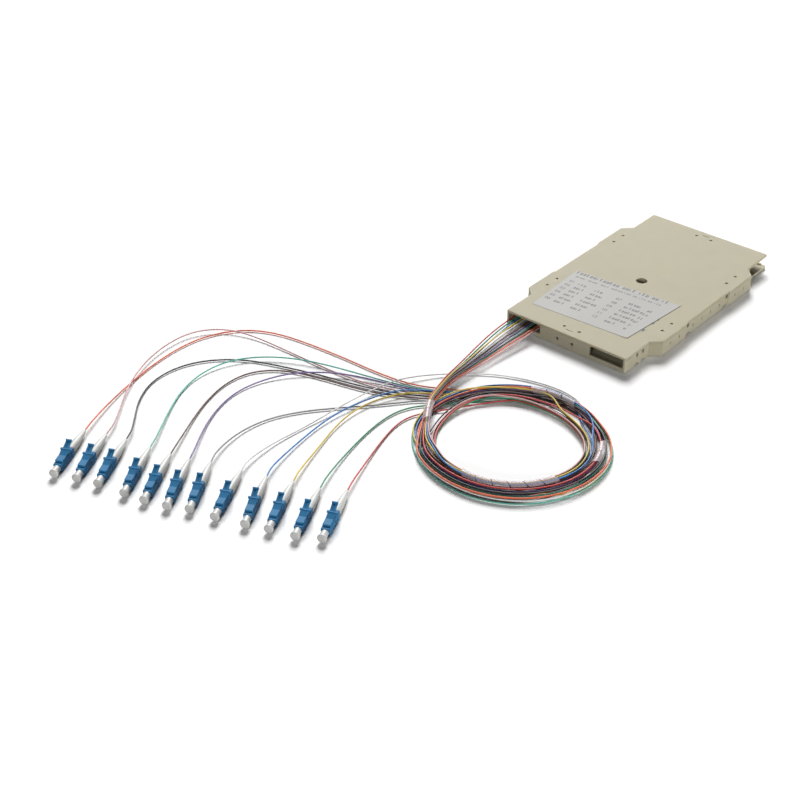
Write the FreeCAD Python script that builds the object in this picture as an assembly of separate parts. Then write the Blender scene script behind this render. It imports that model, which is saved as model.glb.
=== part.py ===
import FreeCAD, Part

import math
import os

# A fibre cassette: a flat snap-lid splice tray with twelve coloured pigtails. The pigtails leave
# the front left window side by side, wind twice round in a loose coil held by clear sleeves, and
# fan out to twelve small form factor plugs with boots and dust caps. Lengths are in millimetres.
# The origin is the middle of the cassette's underside, +Y runs along its length away from the
# windows that the pigtails leave by, and +Z is up.

Vector = FreeCAD.Vector

# Cassette outline
cassette_length = 160.0
wide_width = 96.0
narrow_width = 84.0
shoulder_start = 50.0       # y where the wide sides end
shoulder_length = 6.0       # y length of each slanted shoulder
waist_half_length = 24.5    # y reach of the slightly narrower middle stretch of the sides
waist_inset = 0.8
corner_radius = 1.0
cassette_height = 9.8
lid_thickness = 1.5
wall = 1.6
floor_thickness = 1.8
lid_edge_bevel = 0.3
seam_bevel = 0.25           # bevel under the lid's rim, which leaves a groove along the seam
small_round_sides = 12      # flat sides round each small turned piece that repeats

# End windows, holes and notches of the tray
window_width = 23.0
window_sill = 2.6
corner_opening_length = 21.0
pin_hole_radius = 1.0
pin_hole_spacing = 10.4
pin_hole_height = 4.7
snap_place = 22.3           # y of each snap notch, both ways from the middle
snap_width = 3.0
snap_depth = 2.6            # how far a snap notch reaches below the seam
stack_notch_place = 20.5
stack_notch_width = 4.6
stack_notch_height = 1.7
stack_notch_depth = 1.2
side_slot_places = (-42.0, -32.0, -16.0, -6.0, 4.0, 14.0, 31.0, 41.0)
side_slot_width = 0.9
side_slot_height = 2.2
side_slot_middle = 4.7
side_slot_depth = 0.8
side_hole_places = (-67.7, -61.6)
side_hole_width = 2.0
side_hole_height = 2.4
side_hole_middle = 6.7
foot_notch_height = 1.4
seam_slot_place = -75.5
seam_slot_length = 4.0
seam_slot_height = 0.35

# Stacking hole and its boss
stack_bore_radius = 3.2
boss_wall = 1.5
boss_y = 0.8
boss_clearance = 0.1
lid_hole_clearance = 0.3    # the lid's hole is this much wider in radius than the boss's bore

# Fibre guides moulded in the tray
guide_radius = 29.0         # inner radius of each guide wall
guide_wall = 1.2
guide_centre_y = 24.0
guide_height = 6.6          # top of the guides above the underside
guide_sweep = 66.0          # half of the arc that each guide wall covers, in degrees
rib_length = 30.0
tab_length = 7.0
tab_width = 6.0
tab_thickness = 1.0
tab_angles = (-52.0, 0.0, 52.0)
tab_opening_gap = 0.4       # between a guide wall and the floor opening under its tongue

# Wound fibre inside
store_gap = 0.6             # between a guide wall and the wound fibre
store_width = 5.0
store_lift = 0.1
store_top = 5.4

# Fibre and the comb that holds it at the window
fibre_count = 12
fibre_radius = 0.45
entry_height = 5.0
entry_left = -38.8
entry_right = -19.6
comb_front = -68.0
comb_depth = 5.0
comb_slot_clearance = 0.08
comb_tooth_rise = 1.2

# Splice holder and splice protectors
splice_columns = 6
splice_rows = 2
splice_radius = 1.3
splice_length = 45.0
splice_clearance = 0.05
splice_fin = 0.5
splice_fin_length = 8.0
splice_fin_place = 12.0
splice_base = 0.6
splice_base_length = 38.0
splice_gap_to_boss = 2.6
splice_fin_top = 7.4

# Lid marks and snap hooks
dimple_radius = 1.0
dimple_depth = 1.0
side_dimple_x = 41.0
side_dimple_ys = (-40.5, -30.5, 31.6, 42.2)
end_dimple_x = 5.3
end_dimple_y = 73.0
mark_length = 5.0
mark_width = 0.8
mark_depth = 0.3
mark_y = 75.6
hook_width = 2.2
hook_thickness = 1.2
hook_drop = 2.8
hook_clearance = 0.2
hook_reach = 0.5
hook_nib_height = 1.1

# Label on the lid
label_width = 70.0
label_height = 50.0
label_thickness = 0.15
label_x = -1.0
label_y = -37.5
label_turn = 3.3
label_corner = 1.2

# Plug housing, along its own axis from the front face backwards
plug_side = 4.5
plug_length = 15.5
plug_edge = 0.3
nose_bore_radius = 1.6
nose_bore_depth = 5.0
latch_base_start = 2.1
latch_base_end = 8.6
latch_base_width = 4.0
latch_base_rise = 1.05
latch_arm_width = 2.9
latch_tip_place = 16.3
latch_tip_rise = 4.5
latch_thickness = 0.9
latch_shoulder_end = 11.3
latch_lip = 0.7
latch_groove_width = 1.0
latch_groove_depth = 0.3
ear_place = 10.9
ear_half = 0.5
ear_span = 5.3
collar_start = 12.6
collar_growth = 0.18
side_window_place = 9.6
side_window_half = 0.55
side_window_depth = 0.6

# Ferrule, dust cap and boot
ferrule_radius = 0.625
ferrule_reach = 1.0         # how far the ferrule stands out of the plug's front
cap_knob_radius = 2.6
cap_knob_length = 2.2
cap_neck_radius = 2.0
cap_reach = 4.8             # from the plug's front face to the cap's front
cap_stem_radius = 1.4
cap_stem_length = 4.2
cap_ferrule_clearance = 0.055
cap_face_gap = 0.2
cap_bevel = 0.45
boot_length = 18.9
boot_start_radius = 2.2
boot_waist_place = 6.5
boot_waist_radius = 2.25
boot_end_radius = 0.95
boot_tip_bevel = 0.5

# Coil of the pigtails, and the clear sleeves on it
coil_x = 33.4
coil_y = -175.0
coil_outer_radius = 54.0
coil_width = 16.5
coil_inner_radius = coil_outer_radius - coil_width
coil_height = 4.2
coil_bevel = 1.8
sleeve_radius = 2.6
sleeve_wall = 0.4
sleeve_height = 2.8
sleeve_sides = 8
sleeve_stretch = 9.0        # a sleeve bends by at most this angle, in degrees, between its joints
# name: how far its middle lies inside the coil's outside, start angle and end angle in degrees
sleeves = {
    "sleeve_upper": (6.0, 80.0, 117.0),
    "sleeve_left": (4.4, 187.0, 208.0),
    "sleeve_lower": (12.8, 268.0, 342.0),
    "sleeve_right": (6.4, 2.0, 37.0),
}

# Where each plug lies, by fibre number: x and y of its boot's tip, and the direction in degrees
# from the dust cap to the boot
plug_places = {
    1: (-2.5, -265.4, 113.9),
    2: (-14.4, -272.8, 114.9),
    3: (-42.0, -283.2, 118.8),
    4: (-28.7, -277.5, 116.0),
    5: (-55.6, -287.9, 115.7),
    6: (-72.6, -293.3, 120.7),
    7: (-93.7, -302.2, 118.0),
    8: (-82.9, -298.7, 120.2),
    9: (-106.3, -305.2, 119.0),
    10: (-121.6, -308.1, 117.5),
    11: (-144.7, -316.8, 116.3),
    12: (-133.1, -312.0, 116.9),
}

# The twelve pigtails leave the cassette side by side and close up to a bundle three high.
# Each station holds y, the x of the first and of the last fibre, the lowest z and the rise of
# one layer.
lead_stations = (
    (-62.0, -38.8, -19.6, 5.0, 0.0),
    (-80.0, -38.8, -19.6, 5.0, 0.0),
    (-99.0, -37.0, -20.2, 5.0, 0.6),
    (-119.0, -33.6, -20.4, 5.0, 1.05),
    (-139.0, -29.8, -21.6, 4.9, 1.05),
    (-155.0, -26.6, -21.6, 4.4, 1.05),
    (-168.0, -22.9, -18.9, 3.4, 1.05),
    (-178.6, -18.9, -14.9, 1.6, 1.05),
)

# From the boot's tip to the coil, x, y and z, by fibre number
tail_routes = {
    1: ((-6.6, -256.0, 2.4), (-11.0, -244.0, 1.6), (-16.0, -230.0, 0.8), (-20.5, -216.0, 0.5),
        (-23.5, -202.5, 0.5), (-22.8, -191.5, 0.5), (-17.8, -182.9, 0.6)),
    2: ((-18.6, -263.5, 2.4), (-22.5, -252.0, 1.6), (-26.5, -238.0, 0.8), (-30.0, -222.0, 0.5),
        (-32.0, -207.0, 0.5), (-31.5, -194.0, 0.5), (-28.0, -184.5, 0.5), (-22.5, -177.5, 0.5),
        (-17.9, -172.9, 0.6)),
    3: ((-46.5, -274.0, 2.4), (-49.5, -262.0, 1.6), (-52.5, -246.0, 1.0), (-54.5, -229.0, 1.0),
        (-54.0, -213.0, 1.6), (-51.0, -198.0, 1.6), (-47.0, -185.0, 1.6), (-41.0, -175.0, 1.6),
        (-33.0, -168.5, 1.6), (-24.0, -163.3, 1.6), (-15.6, -158.1, 1.5)),
    4: ((-33.0, -268.5, 2.4), (-37.0, -257.0, 1.6), (-41.5, -243.0, 1.0), (-46.0, -229.0, 1.0),
        (-48.5, -215.0, 1.4), (-48.3, -201.5, 1.6), (-45.0, -189.0, 1.6), (-39.5, -178.5, 1.6),
        (-32.0, -171.5, 1.6), (-24.0, -166.0, 1.6), (-16.3, -160.3, 1.5)),
    5: ((-59.3, -280.0, 2.4), (-61.0, -270.0, 1.7), (-61.5, -256.0, 0.9), (-60.0, -241.0, 0.5),
        (-58.5, -226.0, 0.9), (-57.0, -211.5, 1.6), (-55.5, -197.5, 1.7), (-53.5, -184.0, 1.7),
        (-50.5, -171.5, 1.7), (-44.5, -160.5, 1.7), (-36.0, -149.0, 1.0), (-25.0, -137.5, 0.5),
        (-11.0, -127.5, 0.5), (6.0, -120.5, 0.5), (23.0, -117.5, 0.5), (36.0, -119.0, 0.5),
        (45.0, -124.3, 0.6)),
    6: ((-77.3, -285.0, 2.4), (-81.0, -273.0, 1.6), (-82.5, -258.0, 0.8), (-79.5, -242.0, 0.5),
        (-71.0, -226.5, 0.5), (-58.5, -211.5, 0.5), (-45.5, -197.5, 0.5), (-35.5, -185.0, 0.5),
        (-28.0, -176.0, 0.5), (-18.1, -169.6, 0.6)),
    7: ((-98.5, -293.0, 2.4), (-105.0, -280.5, 1.6), (-112.5, -266.0, 0.8), (-119.0, -250.0, 0.5),
        (-122.5, -234.0, 0.5), (-121.0, -219.5, 0.5), (-114.0, -208.5, 0.5), (-102.5, -201.0, 0.5),
        (-85.5, -195.5, 0.5), (-66.0, -191.0, 0.5), (-50.0, -186.0, 0.5), (-37.0, -179.0, 0.5),
        (-27.0, -172.7, 0.5), (-17.8, -167.0, 0.6)),
    8: ((-88.0, -290.0, 2.4), (-95.0, -279.5, 1.7), (-103.0, -266.0, 0.9), (-109.5, -250.0, 0.5),
        (-112.0, -234.0, 0.5), (-108.5, -217.5, 0.8), (-100.5, -203.5, 1.5), (-89.0, -192.5, 1.6),
        (-76.0, -184.5, 1.6), (-61.5, -178.0, 1.1), (-47.0, -173.5, 0.5), (-35.0, -169.0, 0.5),
        (-24.5, -163.0, 0.5), (-14.6, -155.6, 0.6)),
    9: ((-111.0, -296.5, 2.4), (-118.5, -285.0, 1.7), (-127.5, -271.0, 0.9), (-135.5, -256.0, 0.5),
        (-140.0, -239.0, 0.8), (-138.5, -223.0, 1.5), (-132.0, -210.0, 1.6), (-121.5, -199.0, 1.6),
        (-107.5, -190.5, 1.6), (-91.0, -184.5, 1.6), (-72.0, -179.0, 1.2), (-53.0, -173.5, 0.5),
        (-37.0, -168.5, 0.5), (-25.0, -161.3, 0.5), (-13.5, -153.2, 0.6)),
    10: ((-126.5, -299.5, 2.4), (-135.0, -290.0, 1.7), (-146.0, -278.0, 0.9), (-154.5, -263.0, 0.5),
         (-156.5, -247.0, 0.5), (-152.5, -231.5, 0.5), (-143.0, -218.5, 0.5), (-129.0, -208.0, 0.5),
         (-111.0, -201.0, 0.5), (-92.0, -194.5, 0.5), (-72.0, -189.3, 0.5), (-54.0, -184.0, 0.5),
         (-39.0, -177.3, 0.5), (-27.5, -170.3, 0.5), (-17.4, -164.8, 0.6)),
    11: ((-149.6, -306.5, 2.4), (-156.0, -291.0, 1.5), (-163.0, -270.0, 0.6), (-169.0, -243.0, 0.5),
         (-170.0, -217.0, 0.5), (-164.0, -198.0, 0.5), (-153.0, -184.5, 0.5), (-138.0, -177.0, 0.5),
         (-119.0, -173.5, 0.5), (-90.0, -171.2, 0.5), (-62.0, -170.5, 0.5), (-41.0, -167.0, 0.5),
         (-26.5, -159.3, 0.5), (-12.3, -150.7, 0.6)),
    12: ((-138.0, -302.0, 2.4), (-147.0, -290.0, 2.0), (-158.0, -276.0, 1.9), (-169.0, -257.0, 1.7),
         (-176.0, -236.0, 1.6), (-177.0, -216.0, 1.6), (-171.5, -202.5, 1.6), (-160.0, -193.0, 1.6),
         (-145.0, -188.5, 1.0), (-123.0, -187.0, 0.5), (-99.0, -186.6, 0.5), (-79.0, -185.5, 0.5),
         (-60.0, -182.3, 0.5), (-43.0, -176.8, 0.5), (-29.5, -168.8, 0.5), (-16.9, -162.3, 0.6)),
}

# Worked out from the sizes above
seam = cassette_height - lid_thickness
half_length = cassette_length / 2
narrow_half = narrow_width / 2
wide_half = wide_width / 2
waist_half = wide_half - waist_inset
comb_pitch = (entry_right - entry_left) / (fibre_count - 1)
plug_axis_height = cap_knob_radius
plug_half = plug_side / 2
connector_length = plug_length + boot_length


def box(x0, x1, y0, y1, z0, z1):
    return Part.makeBox(x1 - x0, y1 - y0, z1 - z0, Vector(x0, y0, z0))


def prism(points, z0, z1):
    corners = [Vector(x, y, z0) for x, y in points]
    face = Part.Face(Part.makePolygon(corners + corners[:1]))
    return face.extrude(Vector(0, 0, z1 - z0))


def many_corners(x, y, radius, sides=small_round_sides):
    """Corners of a regular outline whose flat sides lie at the radius, one of them lowest."""
    reach = radius / math.cos(math.pi / sides)
    turns = [math.pi * (2 * n + 1) / sides for n in range(sides)]
    return [(x + reach * math.cos(turn), y + reach * math.sin(turn)) for turn in turns]


def flat_faced(rings):
    """A solid with flat faces between outlines that all have the same number of corners."""
    outlines = [rings[0], rings[-1]]
    for near, far in zip(rings, rings[1:]):
        outlines += [[near[n - 1], near[n], far[n], far[n - 1]] for n in range(len(near))]
    faces = [Part.Face(Part.makePolygon(corners + corners[:1])) for corners in outlines]
    solid = Part.makeSolid(Part.makeShell(faces))
    if solid.Volume < 0:
        solid.reverse()
    return solid


def tapered(start, start_radius, end, end_radius):
    """A many-sided piece on the X axis, with the radius of its flat sides at both ends."""
    near = [Vector(start, y, z) for y, z in many_corners(0, 0, start_radius)]
    far = [Vector(end, y, z) for y, z in many_corners(0, 0, end_radius)]
    return flat_faced([near, far])


def joined(shapes):
    first, *rest = shapes
    return first.multiFuse(rest).removeSplitter()


def upright_edges(solid, places, reach=0.01):
    """Vertical edges of a solid whose x and y are near one of the places."""
    found = []
    for edge in solid.Edges:
        a, b = edge.Vertexes[0].Point, edge.Vertexes[-1].Point
        level = math.hypot(a.x - b.x, a.y - b.y)
        if level > reach or abs(a.z - b.z) < reach:
            continue
        if any(math.hypot(a.x - x, a.y - y) < reach for x, y in places):
            found.append(edge)
    return found


def quarter_outline(inset):
    """Corner points of the cassette's outline in the quarter with x and y above zero."""
    narrow = narrow_half - inset
    wide = wide_half - inset
    waist = waist_half - inset
    slant = math.hypot(shoulder_length, wide_half - narrow_half)
    shift = inset * (slant - shoulder_length) / (wide_half - narrow_half)
    return [
        (waist, waist_half_length - waist_inset),
        (wide, waist_half_length),
        (wide, shoulder_start - shift),
        (narrow, shoulder_start + shoulder_length - shift),
        (narrow, half_length - inset),
    ]


def outline(inset):
    quarter = quarter_outline(inset)
    right = [(x, -y) for x, y in reversed(quarter)] + quarter
    return right + [(-x, y) for x, y in reversed(right)]


def end_corners():
    return [(sx * narrow_half, sy * half_length) for sx in (-1, 1) for sy in (-1, 1)]


def guide(centre_y, facing):
    """One curved guide wall, open towards the middle of the tray, with its two end ribs."""
    start, end = facing - guide_sweep, facing + guide_sweep
    outer = Part.makeCylinder(guide_radius + guide_wall, guide_height - floor_thickness,
                              Vector(0, centre_y, floor_thickness), Vector(0, 0, 1), end - start)
    inner = Part.makeCylinder(guide_radius, guide_height - floor_thickness,
                              Vector(0, centre_y, floor_thickness), Vector(0, 0, 1))
    wall_arc = outer.cut(inner)
    wall_arc.rotate(Vector(0, centre_y, 0), Vector(0, 0, 1), start)
    return wall_arc


def hold_down_tab(centre_y, angle):
    """A tongue that reaches out over the wound fibre from the top of a guide wall."""
    tongue = box(guide_radius, guide_radius + guide_wall + tab_length,
                 -tab_width / 2, tab_width / 2, guide_height - tab_thickness, guide_height)
    tongue.rotate(Vector(0, 0, 0), Vector(0, 0, 1), angle)
    tongue.translate(Vector(0, centre_y, 0))
    return tongue


def tab_opening(centre_y, angle):
    """The opening in the floor that a hold-down tongue is moulded through."""
    reach = guide_radius + guide_wall + tab_opening_gap
    opening = box(reach, reach + tab_length, -tab_width / 2, tab_width / 2, 0, floor_thickness)
    opening.rotate(Vector(0, 0, 0), Vector(0, 0, 1), angle)
    opening.translate(Vector(0, centre_y, 0))
    return opening


def entry_comb():
    """Teeth behind the front left window, with one slot for each fibre."""
    slot = 2 * (fibre_radius + comb_slot_clearance)
    tooth = comb_pitch - slot
    left = entry_left - comb_pitch / 2 - tooth / 2
    right = entry_right + comb_pitch / 2 + tooth / 2
    ledge = entry_height - fibre_radius - comb_slot_clearance
    base = box(left, right, comb_front, comb_front + comb_depth, floor_thickness, ledge)
    top = entry_height + comb_tooth_rise
    teeth = [box(left + n * comb_pitch, left + n * comb_pitch + tooth,
                 comb_front, comb_front + comb_depth, ledge, top) for n in range(fibre_count + 1)]
    return [base] + teeth


def tray_additions():
    height = seam - boss_clearance
    boss = Part.makeCylinder(stack_bore_radius + boss_wall, height, Vector(0, boss_y, 0))
    parts = [boss]
    for side in (-1, 1):
        centre_y = side * guide_centre_y
        parts.append(guide(centre_y, side * 90.0))
        for angle in tab_angles:
            parts.append(hold_down_tab(centre_y, side * 90.0 + angle))
        rib_x = side * (guide_radius + guide_wall / 2)
        parts.append(box(rib_x - guide_wall / 2, rib_x + guide_wall / 2,
                         -rib_length / 2, rib_length / 2, floor_thickness, guide_height))
    return parts + entry_comb()


def window(x0, x1, end):
    """An opening in an end wall, from the sill up to the lid."""
    y_in = half_length - wall
    y_out = half_length + 1
    if end < 0:
        return box(x0, x1, -y_out, -y_in, window_sill, cassette_height)
    return box(x0, x1, y_in, y_out, window_sill, cassette_height)


def tray_cuts():
    inner_x = narrow_half - wall
    cuts = [
        window(-inner_x, -inner_x + window_width, -1),
        window(inner_x - window_width, inner_x, -1),
        window(-inner_x, -inner_x + window_width, 1),
        window(inner_x - window_width, inner_x, 1),
        box(inner_x - wall, wide_half, half_length - corner_opening_length, half_length + 1,
            floor_thickness, cassette_height),
        Part.makeCylinder(stack_bore_radius, cassette_height, Vector(0, boss_y, 0)),
    ]
    for side in (-1, 1):
        for end in (-1, 1):
            hole_x = side * pin_hole_spacing / 2
            start = Vector(hole_x, end * (half_length + 1), pin_hole_height)
            cuts.append(Part.makeCylinder(pin_hole_radius, wall + 1, start, Vector(0, -end, 0)))
            cuts += side_cuts(side, end)
        for place in side_slot_places:
            reach = (waist_half if abs(place) < waist_half_length else wide_half) - side_slot_depth
            cuts.append(side_box(side, reach, wide_half + 1, place, side_slot_width,
                                 side_slot_middle - side_slot_height / 2,
                                 side_slot_middle + side_slot_height / 2))
        for end in (-1, 1):
            for angle in tab_angles:
                cuts.append(tab_opening(end * guide_centre_y, end * 90.0 + angle))
    return cuts


def side_box(side, x_in, x_out, y_middle, width, z0, z1):
    low, high = sorted((side * x_in, side * x_out))
    return box(low, high, y_middle - width / 2, y_middle + width / 2, z0, z1)


def side_cuts(side, end):
    """Snap notch and stacking notch of one wide side, in one half of the length."""
    return [
        side_box(side, waist_half - wall - 0.5, wide_half, end * snap_place, snap_width,
                 seam - snap_depth, cassette_height),
        side_box(side, waist_half - stack_notch_depth, wide_half, end * stack_notch_place,
                 stack_notch_width, -1, stack_notch_height),
    ]


def narrow_side_cuts():
    """The break-out holes, foot notches and seam slot near the front end of both sides."""
    cuts = []
    for side in (-1, 1):
        for place in side_hole_places:
            cuts.append(side_box(side, narrow_half - wall - 0.5, narrow_half + 1, place,
                                 side_hole_width, side_hole_middle - side_hole_height / 2,
                                 side_hole_middle + side_hole_height / 2))
            cuts.append(side_box(side, narrow_half - stack_notch_depth, narrow_half + 1, place,
                                 side_hole_width + 0.8, -1, foot_notch_height))
        cuts.append(side_box(side, narrow_half - wall - 0.5, narrow_half + 1, seam_slot_place,
                             seam_slot_length, seam - seam_slot_height, cassette_height))
    return cuts


def make_tray():
    body = prism(outline(0), 0, seam)
    body = body.makeFillet(corner_radius, upright_edges(body, end_corners()))
    cavity = prism(outline(wall), floor_thickness, cassette_height)
    shell = body.cut(cavity)
    solid = joined([shell] + tray_additions())
    return solid.cut(Part.makeCompound(tray_cuts() + narrow_side_cuts())).removeSplitter()


def lid_hook(side, end):
    """A tongue under the lid with a nib that snaps into a notch of the tray's side."""
    face = waist_half - wall - hook_clearance
    middle = end * snap_place
    tongue = side_box(side, face - hook_thickness, face, middle, hook_width,
                      seam - hook_drop, seam + lid_thickness / 2)
    nib_top = seam - hook_clearance
    nib = side_box(side, face - hook_thickness / 2, face + hook_clearance + hook_reach, middle,
                   hook_width, nib_top - hook_nib_height, nib_top)
    return [tongue, nib]


def lid_marks():
    """Round dimples and one short sunk mark at each end of the lid's top."""
    deep = cassette_height - dimple_depth
    places = [(side * side_dimple_x, y) for side in (-1, 1) for y in side_dimple_ys]
    places += [(side * end_dimple_x, end * end_dimple_y) for side in (-1, 1) for end in (-1, 1)]
    cuts = [prism(many_corners(x, y, dimple_radius), deep, cassette_height + 1)
            for x, y in places]
    for end in (-1, 1):
        cuts.append(box(-mark_length / 2, mark_length / 2,
                        end * mark_y - mark_width / 2, end * mark_y + mark_width / 2,
                        cassette_height - mark_depth, cassette_height + 1))
    return cuts


def make_lid():
    plate = prism(outline(0), seam, cassette_height)
    plate = plate.makeFillet(corner_radius, upright_edges(plate, end_corners()))
    top_rim = [edge for edge in plate.Edges if edge.BoundBox.ZMin > cassette_height - 0.01]
    plate = plate.makeChamfer(lid_edge_bevel, top_rim)
    low_rim = [edge for edge in plate.Edges if edge.BoundBox.ZMax < seam + 0.01]
    plate = plate.makeChamfer(seam_bevel, low_rim)
    hooks = []
    for side in (-1, 1):
        for end in (-1, 1):
            hooks += lid_hook(side, end)
    hole = Part.makeCylinder(stack_bore_radius + lid_hole_clearance, 3 * lid_thickness,
                             Vector(0, boss_y, seam - lid_thickness))
    return joined([plate] + hooks).cut(Part.makeCompound([hole] + lid_marks()))


def make_label():
    half_x, half_y = label_width / 2, label_height / 2
    corners = [(-half_x, -half_y), (half_x, -half_y), (half_x, half_y), (-half_x, half_y)]
    sheet = prism(corners, cassette_height, cassette_height + label_thickness)
    sheet = sheet.makeFillet(label_corner, upright_edges(sheet, corners))
    sheet.rotate(Vector(0, 0, 0), Vector(0, 0, 1), label_turn)
    sheet.translate(Vector(label_x, label_y, 0))
    return sheet


def splice_pitch():
    return 2 * (splice_radius + splice_clearance) + splice_fin


def splice_left():
    return stack_bore_radius + boss_wall + splice_gap_to_boss


def make_splice_comb():
    """Base plate with two rows of fins, each slot as wide as one splice protector."""
    left = splice_left()
    pitch = splice_pitch()
    right = left + splice_columns * pitch + splice_fin
    base_top = floor_thickness + splice_base
    parts = [box(left, right, -splice_base_length / 2, splice_base_length / 2,
                 floor_thickness, base_top)]
    for end in (-1, 1):
        middle = end * splice_fin_place
        for n in range(splice_columns + 1):
            x = left + n * pitch
            parts.append(box(x, x + splice_fin, middle - splice_fin_length / 2,
                             middle + splice_fin_length / 2, base_top, splice_fin_top))
    return joined(parts)


def make_splice_protectors():
    """Twelve shrunk sleeves in the comb, two on each other in every slot."""
    sleeves_made = []
    pitch = splice_pitch()
    first_x = splice_left() + splice_fin + splice_radius + splice_clearance
    first_z = floor_thickness + splice_base + splice_radius + splice_clearance
    for column in range(splice_columns):
        for row in range(splice_rows):
            z = first_z + row * 2 * (splice_radius + splice_clearance)
            tube = tapered(-splice_length / 2, splice_radius, splice_length / 2, splice_radius)
            tube.rotate(Vector(0, 0, 0), Vector(0, 0, 1), 90)
            tube.translate(Vector(first_x + column * pitch, 0, z))
            sleeves_made.append(tube)
    return Part.makeCompound(sleeves_made)


def oval(radius, z0, z1):
    """A plate with straight sides and half-round ends, round both guide centres."""
    ends = [Part.makeCylinder(radius, z1 - z0, Vector(0, side * guide_centre_y, z0))
            for side in (-1, 1)]
    middle = box(-radius, radius, -guide_centre_y, guide_centre_y, z0, z1)
    return joined([middle] + ends)


def make_fibre_store():
    """Spare fibre wound round the guides, and the flat run that brings it from the comb."""
    inner = guide_radius + guide_wall + store_gap
    outer = inner + store_width
    low = floor_thickness + store_lift
    ring = oval(outer, low, store_top).cut(oval(inner, low, store_top))
    start_y = lead_stations[0][0]
    margin = fibre_radius + comb_slot_clearance
    run = prism([(entry_left - margin, start_y), (entry_right + margin, start_y),
                 (-inner, -guide_centre_y - guide_wall * 8), (-inner, -guide_centre_y),
                 (-outer, -guide_centre_y)],
                entry_height - fibre_radius, store_top)
    return joined([ring, run])


def make_coil():
    """Outer shape of the loose coil: a flat ring with bevelled upper edges."""
    shoulder = coil_height - coil_bevel
    section = [
        (coil_inner_radius, 0), (coil_outer_radius, 0), (coil_outer_radius, shoulder),
        (coil_outer_radius - coil_bevel, coil_height), (coil_inner_radius + coil_bevel, coil_height),
        (coil_inner_radius, shoulder),
    ]
    corners = [Vector(coil_x + radius, coil_y, z) for radius, z in section]
    face = Part.Face(Part.makePolygon(corners + corners[:1]))
    return face.revolve(Vector(coil_x, coil_y, 0), Vector(0, 0, 1), 360)


def make_sleeve(radius, start, end):
    """A clear sleeve bent round with the coil, in short straight stretches."""
    count = math.ceil((end - start) / sleeve_stretch)
    turns = [math.radians(start + n * (end - start) / count) for n in range(count + 1)]

    def rod(section_radius):
        section = many_corners(radius, sleeve_height, section_radius, sleeve_sides)
        rings = [[Vector(coil_x + reach * math.cos(turn), coil_y + reach * math.sin(turn), z)
                  for reach, z in section] for turn in turns]
        return flat_faced(rings)

    return rod(sleeve_radius).cut(rod(sleeve_radius - sleeve_wall))


def latch():
    """Latch base, rising arm, ears and lip, moulded in one with the housing."""
    top = plug_half
    base_top = top + latch_base_rise
    tip_top = top + latch_tip_rise
    base = box(latch_base_start, latch_base_end, -latch_base_width / 2, latch_base_width / 2,
               top - 0.2, base_top)
    root = latch_base_end - latch_thickness * 2
    rise = (tip_top - base_top) / (latch_tip_place - root)

    def arm_piece(start, end, width):
        profile = [
            Vector(start, -width / 2, base_top + rise * (start - root)),
            Vector(end, -width / 2, base_top + rise * (end - root)),
            Vector(end, -width / 2, base_top + rise * (end - root) - latch_thickness),
            Vector(start, -width / 2, base_top + rise * (start - root) - latch_thickness),
        ]
        face = Part.Face(Part.makePolygon(profile + profile[:1]))
        return face.extrude(Vector(0, width, 0))

    ear_z = base_top + rise * (ear_place - root) - latch_thickness / 2
    ears = box(ear_place - ear_half, ear_place + ear_half, -ear_span / 2, ear_span / 2,
               ear_z - ear_half, ear_z + ear_half)
    lip = box(latch_tip_place - latch_lip, latch_tip_place,
              -latch_arm_width / 2 - 0.15, latch_arm_width / 2 + 0.15,
              tip_top - latch_thickness, tip_top + latch_lip / 2)
    groove_start = latch_shoulder_end + 0.6
    groove = arm_piece(groove_start, latch_tip_place - latch_lip, latch_groove_width)
    groove.translate(Vector(0, 0, latch_thickness - latch_groove_depth))
    arm = joined([arm_piece(root, latch_shoulder_end, latch_base_width),
                  arm_piece(latch_shoulder_end - 0.5, latch_tip_place, latch_arm_width),
                  ears, lip])
    return [base, arm.cut(groove)]


def make_plug_housing():
    body = box(0, plug_length, -plug_half, plug_half, -plug_half, plug_half)
    along = [e for e in body.Edges if abs(e.Vertexes[0].X - e.Vertexes[1].X) > 1]
    body = body.makeChamfer(plug_edge, along)
    rear_half = plug_half + collar_growth
    collar = box(collar_start, plug_length, -rear_half, rear_half, -rear_half, rear_half)
    around = [e for e in collar.Edges if abs(e.Vertexes[0].X - e.Vertexes[1].X) > 1]
    collar = collar.makeChamfer(plug_edge, around)
    solid = joined([body, collar] + latch())
    cuts = [tapered(-1, nose_bore_radius, nose_bore_depth, nose_bore_radius)]
    for side in (-1, 1):
        y_in, y_out = sorted((side * (plug_half - side_window_depth), side * (plug_half + 1)))
        cuts.append(box(side_window_place - side_window_half, side_window_place + side_window_half,
                        y_in, y_out, -side_window_half, side_window_half))
    return solid.cut(Part.makeCompound(cuts)).removeSplitter()


def make_dust_cap():
    """Knob and neck outside, and the stem that fills the plug's nose round the ferrule."""
    front = -cap_reach
    knob_back = front + cap_knob_length
    bevelled = front + cap_bevel
    bore = ferrule_radius + cap_ferrule_clearance
    bore_start = -ferrule_reach - cap_face_gap * 2
    bands = [
        tapered(front, cap_knob_radius - cap_bevel, bevelled, cap_knob_radius),
        tapered(bevelled, cap_knob_radius, knob_back, cap_knob_radius),
        tapered(knob_back, cap_neck_radius, -cap_face_gap, cap_neck_radius),
        tapered(-cap_face_gap, cap_stem_radius, cap_stem_length, cap_stem_radius),
    ]
    return joined(bands).cut(tapered(bore_start, bore, cap_stem_length + 1, bore))


def make_ferrule():
    return tapered(-ferrule_reach, ferrule_radius, nose_bore_depth, ferrule_radius)


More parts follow.
